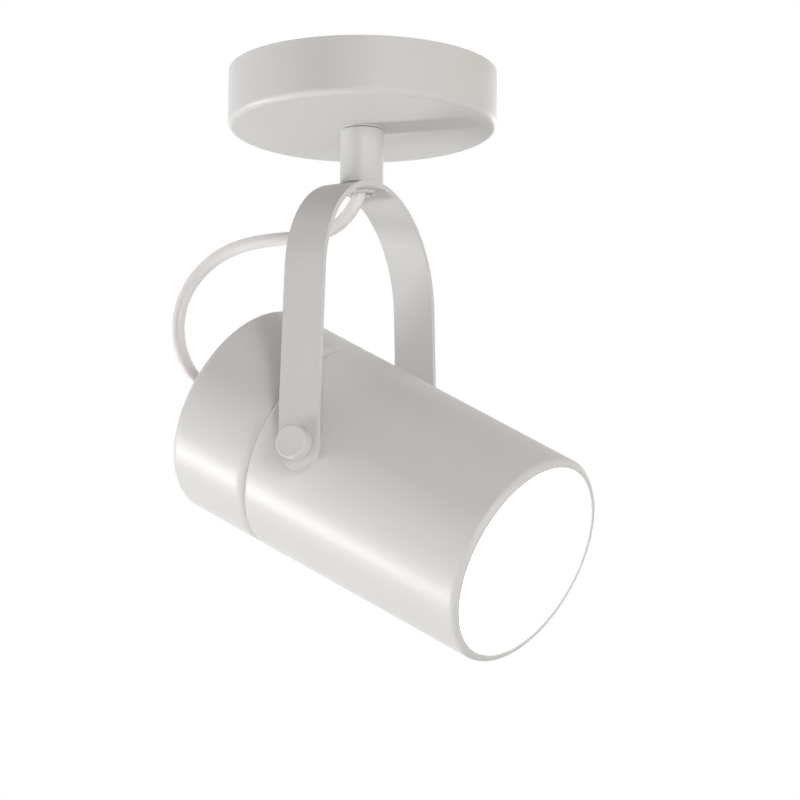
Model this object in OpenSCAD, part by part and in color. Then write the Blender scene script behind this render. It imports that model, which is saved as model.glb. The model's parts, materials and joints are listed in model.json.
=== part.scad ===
// Adjustable ceiling spotlight: a round canopy, a swivel stem, a bent strap yoke
// and a tilting cylindrical head with an opal light panel. Millimetres, +Z up,
// origin at the centre of the face that lies on the ceiling, head towards +X.

/* [Canopy] */
// Outside diameter of the canopy
canopy_d = 120; // [112:1:140]
// Height of the canopy under the ceiling
canopy_h = 26.5; // [24:0.5:28]
// Wall of the spun canopy
canopy_wall = 1.5; // [1:0.1:2]
// Radius of the canopy's lower outer edge
canopy_edge_r = 3; // [2:0.5:5]
// Number of bayonet lugs inside the canopy
lug_count = 3; // [2:1:4]
// Width of one bayonet lug
lug_w = 10; // [6:1:14]
// Thickness of one bayonet lug
lug_t = 1.6; // [1:0.1:2]

/* [Ceiling plate] */
// Thickness of the ceiling plate
plate_t = 1.5; // [1:0.1:2]
// Gap between the plate's rim and the canopy wall
plate_gap = 2.5; // [1:0.5:4]
// Width of the plate's lowered rim
plate_rim_w = 8; // [7:0.5:10]
// Drop of the rim below the ceiling
plate_drop = 4; // [3:0.5:5]
// Distance between the centres of the two fixing slots
slot_spacing = 60; // [50:1:70]
// Length of a fixing slot, end to end
slot_l = 14; // [8:1:18]
// Width of a fixing slot
slot_w = 5; // [4:0.5:6]
// Diameter of the hole for the supply cable
supply_hole_d = 14; // [10:1:16]
// Distance of that hole from the plate's centre
supply_hole_x = 20; // [18:1:24]

/* [Terminal block] */
// Length of the terminal block, across its poles
block_l = 22; // [20:1:26]
// Depth of the terminal block, along the cores
block_w = 14; // [12:1:15]
// Height of the terminal block
block_h = 12.5; // [11:0.5:14]
// Distance of the block from the canopy's axis
block_x = 27; // [26:1:29]
// Number of poles
pole_count = 3; // [2:1:3]

/* [Stem and swivel] */
// Diameter of the stem and of the collar above it
stem_d = 19.5; // [18.5:0.5:20]
// Height of the collar under the canopy
collar_h = 0.7; // [0.6:0.1:4]
// Distance from the ceiling to the top of the yoke
stem_drop = 52.3; // [50.5:0.1:62]
// Thickness of the swivel washer, which shows as a thin gap
swivel_gap = 0.3; // [0.2:0.1:0.6]
// Outside diameter of the hollow threaded nipple
nipple_d = 10; // [9.6:0.1:10.4]
// Bore of the hollow nipple
nipple_bore = 7.2; // [6.8:0.1:7.6]
// Bore of the stem's lower chamber
chamber_d = 16.4; // [16:0.1:16.8]
// Thickness of the stem's top wall
stem_top_t = 5; // [4.5:0.1:6]
// Thickness of the threaded plug in the stem's lower end
plug_t = 6; // [4:0.5:7]
// Diameter of the stop pin
stop_pin_d = 1.5; // [1.2:0.1:1.6]
// Radius at which the stop pin runs
stop_pin_r = 7.4; // [7.2:0.1:7.5]
// Outside diameter of the cable bush's flange
bush_flange_d = 12.6; // [12:0.1:13.4]
// Height of the cable bush's flange
bush_flange_h = 1.8; // [1.6:0.1:2.5]
// Bore of the cable bush
bush_bore = 8.6; // [8.4:0.1:8.8]

/* [Yoke] */
// Width of the strap
yoke_w = 19.5; // [19:0.5:24]
// Thickness of the strap
yoke_t = 2.5; // [2:0.1:3]
// Gap between the head's radius and the arch's outer radius
arch_clear = 2.25; // [2:0.25:7]
// Angle by which each leg spreads
leg_splay = 3; // [2.5:0.5:6]
// Distance from the ceiling to the tilt axis
pivot_drop = 180.3; // [176:0.1:200]
// How far above the tilt axis the legs turn vertical
leg_bend_h = 18; // [13:1:24]
// Drop of the round leg end's centre below the tilt axis
eye_drop = 1.5; // [0:0.5:3]

/* [Head] */
// Outside diameter of the head
head_d = 96.5; // [90:0.5:104]
// Wall of the head tube and of the rear cap
head_wall = 2; // [1.8:0.1:2.4]
// Distance of the head's own axis below the tilt axis
axis_offset = 1.5; // [0:0.1:3]
// Distance from the tilt axis to the front of the lip
mouth_s = 97.5; // [92:0.5:110]
// Distance from the tilt axis to the rear face
rear_s = 68; // [66:1:74]
// Distance from the tilt axis back to the seam of tube and cap
seam_s = 24.5; // [24:0.5:30]
// Width of the lip around the light panel
lip_w = 3.75; // [3.25:0.25:6]
// Radius of the lip's outer edge
lip_r = 3; // [2.5:0.1:3.5]
// Thickness of the lip
lip_t = 2; // [1.5:0.1:2.5]
// Radius of the rear cap's outer edge
rear_edge_r = 4.5; // [3:0.5:6]
// Radius of the cap's rounded shoulder at the seam
cap_shoulder_r = 6; // [5.2:0.1:8]
// Radius of the tube's rounded edge at the seam
tube_shoulder_r = 2.8; // [1:0.1:3]
// Thickness of the rear face
rear_wall = 2.5; // [2:0.1:3.5]
// Angle of the head below level as shown
rest_tilt = 30; // [20:0.5:40]

/* [Light panel and reflector] */
// Thickness of the opal panel's rim
panel_t = 3; // [2:0.5:4]
// Height of the panel's raised middle
panel_step = 1.5; // [1:0.1:1.8]
// Thickness of the silicone gasket behind the panel
gasket_t = 2.5; // [1.5:0.5:3]
// Wall of the cone reflector
reflector_t = 1; // [0.8:0.1:1.5]
// Diameter of the LED board
board_d = 48; // [44:1:52]
// Thickness of the LED board
board_t = 1.6; // [1:0.1:2]
// Side of one LED package
led_side = 3; // [2:0.5:3.5]

/* [Heat sink and driver] */
// Distance from the tilt axis to the heat sink's front face
sink_s = 16; // [15.5:0.5:18]
// Thickness of the heat sink's plate
sink_t = 4; // [3.5:0.5:5]
// Number of cooling fins
fin_count = 16; // [8:2:20]
// Thickness of one fin
fin_t = 1.6; // [1:0.1:2]
// Outside diameter over the fins
fin_d = 62; // [50:1:68]
// Length of the fins behind the plate
fin_l = 24; // [14:1:26]
// Thickness of the snap ring behind the heat sink
snap_t = 1.5; // [1.2:0.1:1.5]
// Outside diameter of a stand-off
post_d = 7; // [6:0.5:7]
// Diameter of a tie screw
tie_d = 3; // [2.5:0.5:3]
// Distance from the tilt axis back to the driver plate
driver_plate_s = 24; // [23.5:0.5:25]
// Thickness of the driver plate
driver_plate_t = 1.5; // [1:0.1:2]
// Length of the driver
driver_l = 50; // [40:1:56]
// Width of the driver
driver_w = 32; // [24:1:34]
// Height of the driver
driver_h = 20; // [14:1:22]

/* [Knobs and pivots] */
// Diameter of a knob
knob_d = 14.8; // [13:0.1:18]
// Height of a knob
knob_h = 6.3; // [5:0.1:10]
// Rounding of the knob's outer rim
knob_edge_r = 0.8; // [0.4:0.1:1.2]
// Diameter of the shoulder that turns in the leg
shoulder_d = 8; // [7:0.1:9]
// Thread diameter of the stud
stud_d = 5.9; // [4.9:0.1:6.2]
// Diameter of the spacers, washers and thread bosses
boss_d = 16; // [14:0.5:17]
// How far a thread boss reaches into the head
boss_l = 6.5; // [5:0.5:8]
// Thickness of the nylon washer inside a leg
pivot_washer_t = 0.8; // [0.5:0.1:1.2]
// Thickness of the spring washer under a knob
knob_washer_t = 0.5; // [0.4:0.1:0.8]

/* [Flex] */
// Diameter of the flex
flex_d = 6; // [5:0.1:6.2]
// Diameter of one core
core_d = 1.8; // [1.5:0.1:1.8]
// Length of the rubber boot on the rear face
boot_l = 20; // [18:1:24]

/* [Hidden] */
$fn = 96;

// Clearances and small standards
eps = 0.1;              // overshoot of cuts
thread_gap = 0.05;      // radial gap left where a thread is not drawn
run_gap = 0.05;         // running gap of pins, shoulders and washers
slide_gap = 0.2;        // gap around pieces that are dropped in
small_fn = 32;          // facets of small round things

// Colours
paint = "whitesmoke";
steel = "lightgray";
bare_alu = "silver";
brass = "goldenrod";
nylon = "ivory";
rubber_white = "gainsboro";

// Canopy and ceiling plate
canopy_r = canopy_d / 2;
canopy_inner_r = canopy_r - canopy_wall;
canopy_floor_z = -canopy_h + canopy_wall;
plate_r = canopy_inner_r - plate_gap;
plate_rim_r = plate_r - plate_rim_w;
plate_hub_r = plate_rim_r - plate_t;
lug_clear = 1;
lug_reach = plate_rim_w - lug_clear + plate_gap;
lug_start = 30;
notch_w = lug_w + 2 * lug_clear;
earth_screw_r = 1.5;
earth_screw_at = plate_rim_r + plate_rim_w / 2;

// Swivel
stem_r = stem_d / 2;
nipple_r = nipple_d / 2;
thread_r = nipple_r + thread_gap;
collar_z = -canopy_h;
stem_top_z = collar_z - collar_h - swivel_gap;
stem_bottom_z = -stem_drop;
chamber_r = chamber_d / 2;
chamber_z = stem_top_z - stem_top_t;
friction_t = 0.8;
wave_t = 1.2;
ring_nut_h = 4;
ring_nut_r = chamber_r - 0.6;
friction_z = chamber_z - friction_t;
wave_z = friction_z - run_gap - wave_t;
ring_nut_z = wave_z - ring_nut_h;
nipple_tail = 1.5;
nipple_bottom_z = ring_nut_z - nipple_tail;
nipple_nut_h = 3.5;
nipple_nut_af = 14;
nipple_nut_z = canopy_floor_z + nipple_nut_h;
nipple_head = 1;
nipple_top_z = nipple_nut_z + nipple_head;
plug_r = chamber_r - thread_gap;
stop_pin_in = 0.5;
stop_groove_w = stop_pin_d + 0.4;
stop_groove_h = 2.2;
stop_pin_end_gap = 0.7;
stop_land_w = 2;
seat_drop = 0.25;

// Yoke: the arch's centre, where the legs leave it and where they turn vertical
strap_top_z = stem_bottom_z;
strap_under_z = strap_top_z - yoke_t;
arch_r = head_d / 2 + arch_clear;
arch_z = strap_top_z - arch_r;
pivot_z = -pivot_drop;
leg_bend_z = pivot_z + leg_bend_h;
arch_steps = 72;
arch_end_y = arch_r * cos(leg_splay);
arch_end_z = arch_z + arch_r * sin(leg_splay);
arch_in_r = arch_r - yoke_t;
arch_flat_r = arch_in_r * cos((90 - leg_splay) / arch_steps);
leg_out = arch_end_y + (arch_end_z - leg_bend_z) * tan(leg_splay);
leg_in = leg_out - yoke_t;
leg_end_z = pivot_z - eye_drop - yoke_w / 2;

// Head: distances along its axis are measured from the tilt axis to the front
head_r = head_d / 2;
bore_r = head_r - head_wall;
lip_d = head_d - 2 * lip_w;
lip_back_s = mouth_s - lip_t;
panel_s = lip_back_s - panel_t;
gasket_s = panel_s - gasket_t;
inner_fit_r = bore_r - slide_gap;
spigot_l = 8;
spigot_wall = 2;
spigot_r = bore_r - thread_gap;
spigot_back = 9;
cap_shoulder_l = 4;
panel_r = bore_r - 0.15;
panel_step_gap = 0.3;
reflector_flange_t = 1.5;
reflector_s = gasket_s - reflector_flange_t;
reflector_back_r = board_d / 2 + 1.5;
reflector_front_r = lip_d / 2 - 1;
snap_depth = 0.8;
snap_s = sink_s - sink_t - snap_t;
snap_w = 3;
snap_gap_w = 6;
post_angles = [0, 120, 240];
fin_gap = 1.5;
driver_side_gap = 2.6;
post_r = max(fin_d / 2 + fin_gap + post_d / 2,
    (driver_l / 2 + driver_side_gap + post_d / 2) / sin(post_angles[1]));
tie_head_d = 5.8;
tie_head_h = 1.6;
boot_neck_r = 4;
boot_flange_r = 7;
boot_flange_h = 2;
boot_tip_r = 3.9;
boot_root_r = 5.2;
boot_lock_r = 5.5;
boot_lock_h = 1.5;
boot_tip_s = -rear_s - boot_l;
cap_inside_s = -rear_s + rear_wall;
flex_stop_h = 6;
flex_stop_r = 6.5;
flex_end_s = cap_inside_s + boot_lock_h + flex_stop_h + 1;
driver_back_s = -driver_plate_s - driver_h;
lead_hole_r = 4;
lead_r = 0.5;
board_top_s = sink_s + board_t;
sink_core_r = 12;
fin_root_r = 10;

// Pivots, outwards from the head's axis
spacer_top = leg_in - run_gap - pivot_washer_t;
shoulder_r = shoulder_d / 2;
stud_r = stud_d / 2;
boss_r = boss_d / 2;
shoulder_end = leg_out + run_gap + knob_washer_t;
boss_top = bore_r - boss_l;

// Flex and cores
flex_r = flex_d / 2;
core_r = core_d / 2;
flex_bend_r = 10;
flex_run_z = nipple_top_z + 0.5 + flex_bend_r;
clamp_x = 13;
clamp_w = 8;
clamp_l = 22;
clamp_t = 2;
clamp_screw_y = 7.5;
sheath_end_x = clamp_x + clamp_w + 1.5;
flex_split_z = -45;
core_gap = 0.15;
core_pitch = 7;
core_straight = 1.2;    // end of a core that runs straight on from the flex
core_bow = 4;
core_land_x = 8;
lead_y = 1.3;
lead_land_y = 4.8;
lead_bow = 0.7;
lead_rise = 1.2;

// Route of the free flex in the plane y = 0, as x and z, from inside the stem
// out of the bush, round behind the head and into the boot's tip
flex_route = [[0, -45.3], [0, -49], [-0.2, -52.2], [-1, -55.6], [-2.4, -58.9], [-4.6, -62.4],
    [-7.8, -66], [-12.4, -69.3], [-17.8, -71.3], [-23.4, -72.3], [-29.2, -72.5], [-34.9, -72.4],
    [-40.6, -72.2], [-46.4, -72.1], [-52.1, -72.2], [-57.8, -72.6], [-63.5, -73.5], [-69.1, -75],
    [-74.4, -77.1], [-79.3, -80], [-83.8, -83.6], [-87.7, -87.8], [-90.7, -92.7], [-92.8, -98],
    [-94, -103.6], [-94.2, -109.4], [-93.4, -115.1], [-91.8, -120.5], [-89.3, -125.7], [-86, -130.4],
    [-82.5, -134], [-79.558, -136.099], [-76.96, -137.599]];

// Sweeps a round tube of radius r along points p; ref is any direction that
// the path never follows
function unit(v) = v / norm(v);
function path_dir(p, i) =
    i == 0 ? unit(p[1] - p[0])
    : i == len(p) - 1 ? unit(p[i] - p[i - 1])
    : unit(unit(p[i + 1] - p[i]) + unit(p[i] - p[i - 1]));
function ring_at(p, i, r, sides, ref) =
    let (t = path_dir(p, i), n = unit(cross(ref, t)), b = cross(t, n))
    [for (k = [0 : sides - 1]) p[i] + r * (cos(360 * k / sides) * n + sin(360 * k / sides) * b)];
module tube(p, r, sides, ref) {
    last = len(p) - 1;
    rings = [for (i = [0 : last]) each ring_at(p, i, r, sides, ref)];
    polyhedron(
        points = concat(rings, [p[0], p[last]]),
        faces = concat(
            [for (i = [0 : last - 1], k = [0 : sides - 1])
                let (a = i * sides + k, b = i * sides + (k + 1) % sides)
                [a, a + sides, b]],
            [for (i = [0 : last - 1], k = [0 : sides - 1])
                let (a = i * sides + k, b = i * sides + (k + 1) % sides)
                [b, a + sides, b + sides]],
            [for (k = [0 : sides - 1]) [k, (k + 1) % sides, sides * (last + 1)]],
            [for (k = [0 : sides - 1])
                [last * sides + (k + 1) % sides, last * sides + k, sides * (last + 1) + 1]]
        )
    );
}

// A ring between two radii, standing on z
module ring(r_out, r_in, h, z = 0) {
    translate([0, 0, z])
        difference() {
            cylinder(r = r_out, h = h);
            translate([0, 0, -eps])
                cylinder(r = r_in, h = h + 2 * eps);
        }
}

// The stop pin, also cut from the collar and from the canopy floor above it
module pin_bar() {
    bottom = stem_top_z - stop_groove_h + stop_pin_end_gap;
    translate([-stop_pin_r, 0, bottom])
        cylinder(r = stop_pin_d / 2, h = collar_z + stop_pin_in - bottom, $fn = small_fn);
}

// A screw whose head lies on z = 0 and whose shank points down
module pan_screw(shank_r, shank_l, head_r, head_h) {
    cylinder(r = head_r, h = head_h, $fn = small_fn);
    translate([0, 0, -shank_l])
        cylinder(r = shank_r, h = shank_l, $fn = small_fn);
}

// Turns its children from the head's own frame, +Z along the beam, into place
module at_head() {
    translate([0, 0, pivot_z])
        rotate([0, 90 + rest_tilt, 0])
            translate([axis_offset, 0, 0])
                children();
}

// Turns +Z of its children to point out of the near (-1) or far (+1) leg
module towards_leg(side) {
    translate([-axis_offset, 0, 0])
        rotate([-90 * side, 0, 0])
            children();
}

module at_posts() {
    for (a = post_angles)
        rotate(a)
            translate([post_r, 0, 0])
                children();
}

module slot_hole(x, y, l, w, h) {
    for (s = [-1, 1])
        translate([x, y + s * (l - w) / 2, 0])
            cylinder(d = w, h = h, center = true, $fn = small_fn);
    translate([x - w / 2, y - (l - w) / 2, -h / 2])
        cube([w, l - w, h]);
}

module ceiling_plate() {
    color(steel)
        difference() {
            union() {
                translate([0, 0, -plate_t])
                    cylinder(r = plate_hub_r + plate_t, h = plate_t);
                ring(plate_rim_r, plate_hub_r, plate_drop + plate_t, -plate_drop - plate_t);
                ring(plate_r, plate_hub_r, plate_t, -plate_drop - plate_t);
            }
            for (s = [-1, 1])
                slot_hole(0, s * slot_spacing / 2, slot_l, slot_w, 4 * plate_t);
            translate([-supply_hole_x, 0, 0])
                cylinder(d = supply_hole_d, h = 4 * plate_t, center = true);
            for (i = [0 : lug_count - 1])
                rotate(lug_start + (i + 0.5) * 360 / lug_count)
                    translate([plate_rim_r, -notch_w / 2, -plate_drop - plate_t - eps])
                        cube([plate_rim_w + eps, notch_w, plate_t + 2 * eps]);
            translate([-earth_screw_at, 0, -plate_drop - plate_t - eps])
                cylinder(r = earth_screw_r + thread_gap, h = plate_t + 2 * eps, $fn = small_fn);
            for (p = plate_screw_at)
                translate([p[0], p[1], -plate_t - eps])
                    cylinder(r = plate_screw_r + thread_gap, h = plate_t + 2 * eps, $fn = small_fn);
        }
}

module canopy_cover() {
    color(paint)
        difference() {
            rotate_extrude()
                difference() {
                    union() {
                        translate([0, -canopy_h])
                            square([canopy_r - canopy_edge_r, canopy_h]);
                        translate([0, -canopy_h + canopy_edge_r])
                            square([canopy_r, canopy_h - canopy_edge_r]);
                        translate([canopy_r - canopy_edge_r, -canopy_h + canopy_edge_r])
                            circle(r = canopy_edge_r);
                    }
                    inner_edge_r = canopy_edge_r - canopy_wall;
                    difference() {
                        translate([0, canopy_floor_z])
                            square([canopy_inner_r, canopy_h]);
                        translate([canopy_inner_r - inner_edge_r, canopy_floor_z - eps])
                            square([inner_edge_r + eps, inner_edge_r + eps]);
                    }
                    translate([canopy_inner_r - inner_edge_r, canopy_floor_z + inner_edge_r])
                        circle(r = inner_edge_r);
                    translate([0, -canopy_h - eps])
                        square([thread_r, canopy_h]);
                }
            pin_bar();
        }
}

module canopy_lugs() {
    color(paint)
        for (i = [0 : lug_count - 1])
            rotate(lug_start + i * 360 / lug_count)
                intersection() {
                    translate([canopy_inner_r - lug_reach, -lug_w / 2, -plate_drop])
                        cube([lug_reach + 1, lug_w, lug_t]);
                    translate([0, 0, -canopy_h])
                        cylinder(r = canopy_inner_r, h = canopy_h);
                }
}

// Place of pole i across the terminal block, for poles d apart
function pole_y(i, d = core_pitch) = (i - (pole_count - 1) / 2) * d;
block_z = -plate_t - block_h;
core_entry_z = -plate_t - block_h / 2;
pole_bore_r = 1.8;
tube_wall = 0.4;
pole_screw_r = 1.5;
pole_screw_x = [0.25, 0.75];

// Screws that hold the terminal block and the cord clamp, as x, y and head z
plate_screw_r = 1.2;
clamp_z = flex_run_z - flex_r - clamp_t;
plate_screw_at = [
    for (i = [0 : pole_count - 2]) [block_x + block_w / 2, pole_y(i + 0.5), block_z],
    for (y = [-1, 1]) [clamp_x + clamp_w / 2, y * clamp_screw_y, clamp_z]
];

module terminal_block() {
    color(nylon)
        difference() {
            translate([block_x, -block_l / 2, block_z])
                cube([block_w, block_l, block_h]);
            for (i = [0 : pole_count - 1]) {
                translate([block_x - eps, pole_y(i), core_entry_z])
                    rotate([0, 90, 0])
                        cylinder(r = pole_bore_r, h = block_w + 2 * eps, $fn = small_fn);
                for (x = pole_screw_x)
                    translate([block_x + x * block_w, pole_y(i), block_z - eps])
                        cylinder(r = pole_screw_r + run_gap, h = core_entry_z - block_z, $fn = small_fn);
            }
            for (i = [0 : pole_count - 2])
                translate([block_x + block_w / 2, pole_y(i + 0.5), block_z - eps])
                    cylinder(r = plate_screw_r + slide_gap, h = block_h + 2 * eps, $fn = small_fn);
        }
}

module terminal_tubes() {
    color(brass)
        for (i = [0 : pole_count - 1])
            translate([block_x + 1, pole_y(i), core_entry_z])
                rotate([0, 90, 0])
                    difference() {
                        cylinder(r = pole_bore_r - run_gap, h = block_w - 2, $fn = small_fn);
                        translate([0, 0, -eps])
                            cylinder(r = pole_bore_r - tube_wall - run_gap, h = block_w, $fn = small_fn);
                    }
}

module terminal_screws() {
    color(steel)
        for (i = [0 : pole_count - 1], x = pole_screw_x)
            translate([block_x + x * block_w, pole_y(i), block_z + 1])
                difference() {
                    cylinder(r = pole_screw_r, h = core_entry_z - pole_bore_r - block_z - 1,
                        $fn = small_fn);
                    translate([-pole_screw_r, -0.25, -eps])
                        cube([2 * pole_screw_r, 0.5, 0.8]);
                }
}

module clamp_base() {
    color(nylon)
        difference() {
            translate([clamp_x, -clamp_l / 2, flex_run_z])
                cube([clamp_w, clamp_l, -plate_t - flex_run_z]);
            translate([clamp_x - eps, 0, flex_run_z])
                rotate([0, 90, 0])
                    cylinder(r = flex_r + run_gap, h = clamp_w + 2 * eps);
            for (y = [-1, 1])
                translate([clamp_x + clamp_w / 2, y * clamp_screw_y, flex_run_z - eps])
                    cylinder(r = plate_screw_r + slide_gap, h = -flex_run_z, $fn = small_fn);
        }
}

module clamp_strap() {
    color(nylon)
        difference() {
            translate([clamp_x, -clamp_l / 2, clamp_z])
                cube([clamp_w, clamp_l, flex_run_z - clamp_z]);
            translate([clamp_x - eps, 0, flex_run_z])
                rotate([0, 90, 0])
                    cylinder(r = flex_r + run_gap, h = clamp_w + 2 * eps);
            for (y = [-1, 1])
                translate([clamp_x + clamp_w / 2, y * clamp_screw_y, clamp_z - eps])
                    cylinder(r = plate_screw_r + slide_gap, h = flex_run_z - clamp_z + 2 * eps,
                        $fn = small_fn);
        }
}

module plate_screws() {
    color(steel)
        for (p = plate_screw_at)
            translate(p)
                mirror([0, 0, 1])
                    pan_screw(plate_screw_r, -plate_t / 2 - p[2], 2.4, 1.6);
}

module earth_screw() {
    color(brass)
        translate([-earth_screw_at, 0, -plate_drop - plate_t])
            mirror([0, 0, 1])
                pan_screw(earth_screw_r, plate_t + 1.5, 3, 2.4);
}

// The flex from the cord clamp over a quarter bend and down through the stem
module canopy_flex() {
    color(paint) {
        translate([flex_bend_r, 0, flex_run_z])
            rotate([0, 90, 0])
                cylinder(r = flex_r, h = sheath_end_x - flex_bend_r);
        translate([flex_bend_r, 0, flex_run_z - flex_bend_r])
            rotate([90, 0, 0])
                rotate([0, 0, 90])
                    rotate_extrude(angle = 90)
                        translate([flex_bend_r, 0])
                            circle(r = flex_r);
        translate([0, 0, flex_split_z])
            cylinder(r = flex_r, h = flex_run_z - flex_bend_r - flex_split_z);
    }
}

module canopy_cores() {
    color("tan")
        for (i = [0 : pole_count - 1])
            tube([
                [sheath_end_x, pole_y(i, core_d + core_gap), flex_run_z],
                [sheath_end_x + core_straight, pole_y(i, core_d + core_gap), flex_run_z],
                [block_x - core_straight, pole_y(i), core_entry_z],
                [block_x + block_w / 2, pole_y(i), core_entry_z]
            ], core_r, 8, [0, 0, 1]);
}

module nipple() {
    color(steel)
        ring(nipple_r, nipple_bore / 2, nipple_top_z - nipple_bottom_z, nipple_bottom_z);
}

module nipple_nut() {
    color(steel)
        translate([0, 0, canopy_floor_z])
            difference() {
                cylinder(d = nipple_nut_af / cos(30), h = nipple_nut_h, $fn = 6);
                translate([0, 0, -eps])
                    cylinder(r = thread_r, h = nipple_nut_h + 2 * eps);
            }
}

module collar() {
    color(paint)
        difference() {
            ring(stem_r, thread_r, collar_h, collar_z - collar_h);
            pin_bar();
        }
}

module stop_pin() {
    color(steel)
        pin_bar();
}

module swivel_washer() {
    color("dimgray")
        ring(stop_pin_r - stop_groove_w / 2, thread_r, swivel_gap, stem_top_z);
}

module wave_washer() {
    color(steel)
        ring(ring_nut_r, thread_r, wave_t, wave_z);
}

module swivel_nut() {
    color(steel)
        difference() {
            ring(ring_nut_r, thread_r, ring_nut_h, ring_nut_z);
            for (s = [-1, 1])
                translate([s * ring_nut_r - 1, -1, ring_nut_z - eps])
                    cube([2, 2, 1.5]);
        }
}

module stem() {
    color(paint)
        difference() {
            ring(stem_r, thread_r, stem_top_z - stem_bottom_z + seat_drop, stem_bottom_z - seat_drop);
            translate([0, 0, stem_bottom_z - 2 * seat_drop])
                cylinder(r = chamber_r, h = chamber_z - stem_bottom_z + 2 * seat_drop);
            translate([0, 0, arch_z])
                rotate([0, 90, 0])
                    cylinder(r = arch_r, h = 2 * stem_d, center = true);
            difference() {
                ring(stop_pin_r + stop_groove_w / 2, stop_pin_r - stop_groove_w / 2,
                    stop_groove_h + eps, stem_top_z - stop_groove_h);
                translate([0, -stop_land_w / 2, stem_top_z - 2 * stop_groove_h])
                    cube([stem_r, stop_land_w, 4 * stop_groove_h]);
            }
        }
}

module friction_washer() {
    color(nylon)
        ring(ring_nut_r, thread_r, friction_t, friction_z);
}

module stem_plug() {
    color(steel)
        ring(plug_r, thread_r, plug_t, stem_bottom_z);
}

// Cross-section of the strap, as y and z: leg, arch, leg and back along the inside
module strap_profile() {
    span = 180 - 2 * leg_splay;
    bend_in_z = leg_bend_z - yoke_t * tan(leg_splay / 2);
    polygon(concat(
        [[leg_in, leg_end_z], [leg_out, leg_end_z], [leg_out, leg_bend_z]],
        [for (i = [0 : arch_steps])
            let (a = leg_splay + span * i / arch_steps)
                [arch_r * cos(a), arch_z + arch_r * sin(a)]],
        [[-leg_out, leg_bend_z], [-leg_out, leg_end_z], [-leg_in, leg_end_z], [-leg_in, bend_in_z]],
        [for (i = [arch_steps : -1 : 0])
            let (a = leg_splay + span * i / arch_steps)
                [arch_in_r * cos(a), arch_z + arch_in_r * sin(a)]],
        [[leg_in, bend_in_z]]
    ));
}

module yoke() {
    color(paint)
        difference() {
            intersection() {
                rotate([90, 0, 90])
                    translate([0, 0, -yoke_w / 2])
                        linear_extrude(yoke_w)
                            strap_profile();
                union() {
                    translate([-yoke_w, -2 * arch_r, pivot_z - eye_drop])
                        cube([2 * yoke_w, 4 * arch_r, pivot_drop]);
                    translate([0, 0, pivot_z - eye_drop])
                        rotate([90, 0, 0])
                            cylinder(d = yoke_w, h = 4 * arch_r, center = true);
                }
            }
            translate([0, 0, strap_under_z - bush_flange_h])
                cylinder(r = thread_r, h = yoke_t + bush_flange_h + eps);
            translate([0, 0, pivot_z])
                rotate([90, 0, 0])
                    cylinder(r = shoulder_r + run_gap, h = 4 * arch_r, center = true);
        }
}

bush_neck_l = 5;
bush_lip_r = (bush_flange_d - bush_bore) / 4;
bush_lip_z = strap_under_z - bush_flange_h + bush_lip_r;
bush_neck_z = (bush_lip_z + strap_under_z) / 2;

module cable_bush() {
    color(paint) {
        intersection() {
            rotate_extrude()
                union() {
                    translate([bush_bore / 2, bush_lip_z])
                        square([2 * bush_lip_r, strap_under_z - bush_lip_z]);
                    translate([bush_bore / 2 + bush_lip_r, bush_lip_z])
                        circle(r = bush_lip_r);
                }
            translate([0, 0, arch_z])
                rotate([0, 90, 0])
                    cylinder(r = arch_flat_r, h = 2 * bush_flange_d, center = true);
        }
        ring(nipple_r, bush_bore / 2 + run_gap, strap_top_z + bush_neck_l - bush_neck_z, bush_neck_z);
    }
}

module flex_loop() {
    color(paint)
        tube([for (q = flex_route) [q[0], 0, q[1]]], flex_r, 12, [0, 1, 0]);
}

module head_tube() {
    color(paint)
        at_head()
            difference() {
                rotate_extrude()
                    difference() {
                        union() {
                            translate([0, -seam_s + tube_shoulder_r])
                                square([head_r, mouth_s + seam_s - tube_shoulder_r - lip_r]);
                            translate([0, -seam_s])
                                square([head_r - tube_shoulder_r, 2 * tube_shoulder_r]);
                            translate([head_r - tube_shoulder_r, -seam_s + tube_shoulder_r])
                                circle(r = tube_shoulder_r);
                            translate([0, mouth_s - 2 * lip_r])
                                square([head_r - lip_r, 2 * lip_r]);
                            translate([head_r - lip_r, mouth_s - lip_r])
                                circle(r = lip_r);
                        }
                        translate([0, -seam_s - eps])
                            square([bore_r, lip_back_s + seam_s + eps]);
                        translate([0, lip_back_s - eps])
                            square([lip_d / 2, lip_t + 2 * eps]);
                        translate([bore_r - eps, snap_s])
                            square([snap_depth + eps, snap_t]);
                    }
                translate([-axis_offset, 0, 0])
                    rotate([90, 0, 0])
                        cylinder(r = stud_r + slide_gap, h = 2 * head_d, center = true, $fn = 48);
            }
}

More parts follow.
